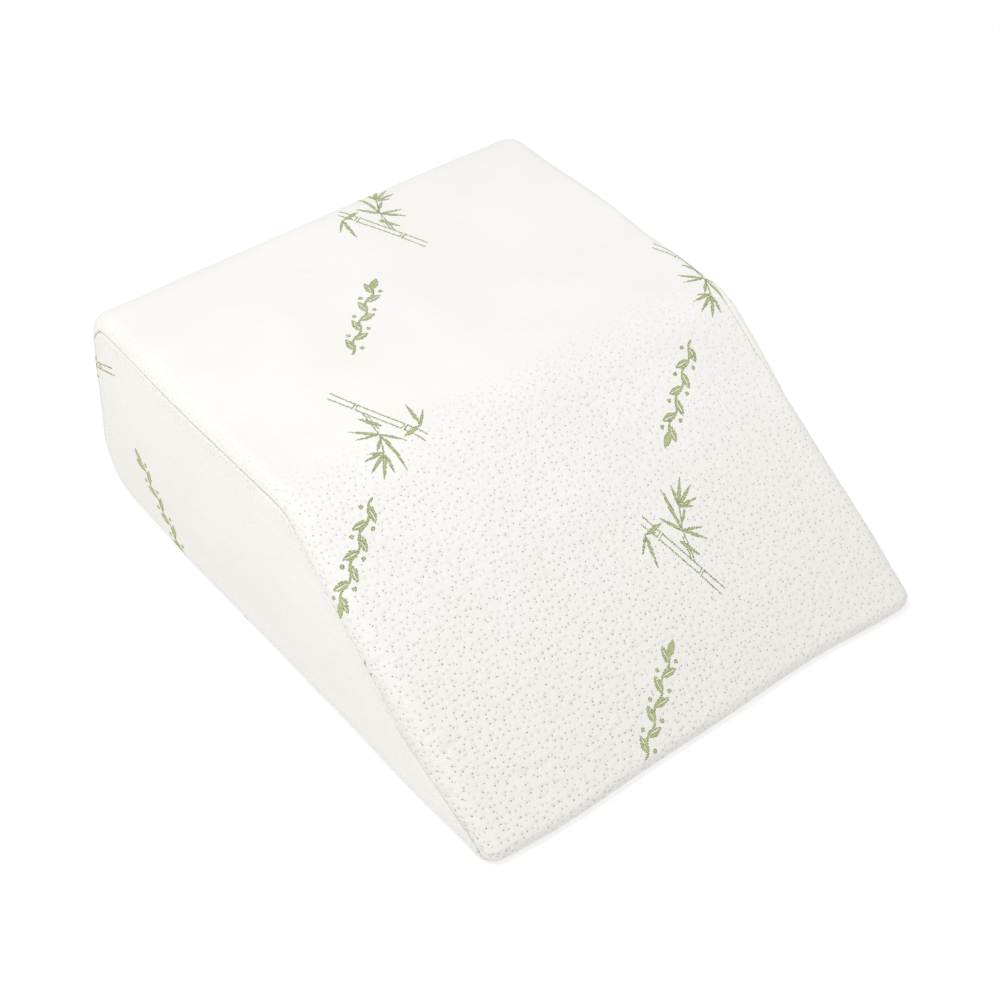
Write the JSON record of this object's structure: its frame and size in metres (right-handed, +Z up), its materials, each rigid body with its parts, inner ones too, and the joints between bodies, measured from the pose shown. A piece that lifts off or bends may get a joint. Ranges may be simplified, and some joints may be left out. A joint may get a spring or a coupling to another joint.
{
  "type": "wedge pillow",
  "caption": "Foam-filled wedge pillow with a level top, a slope down to a thin front edge and a fitted knit cover with sewn side panels.",
  "frame": {"origin": "on the surface the pillow rests on, under the middle of its width and length", "axes": "+Z up, -Y towards the thin front edge, +X to the right seen from the front"},
  "size_m": [0.5178, 0.6166, 0.2136],
  "materials": {
    "wrap_knit": "off-white pinhole knit with green leaf motifs",
    "side_knit": "off-white pinhole knit with green leaf motifs"
  },
  "bodies": {
    "root": {"filled_body": "wrap_knit", "side_panel_left": "side_knit", "side_panel_right": "side_knit"}
  },
  "joints": []
}
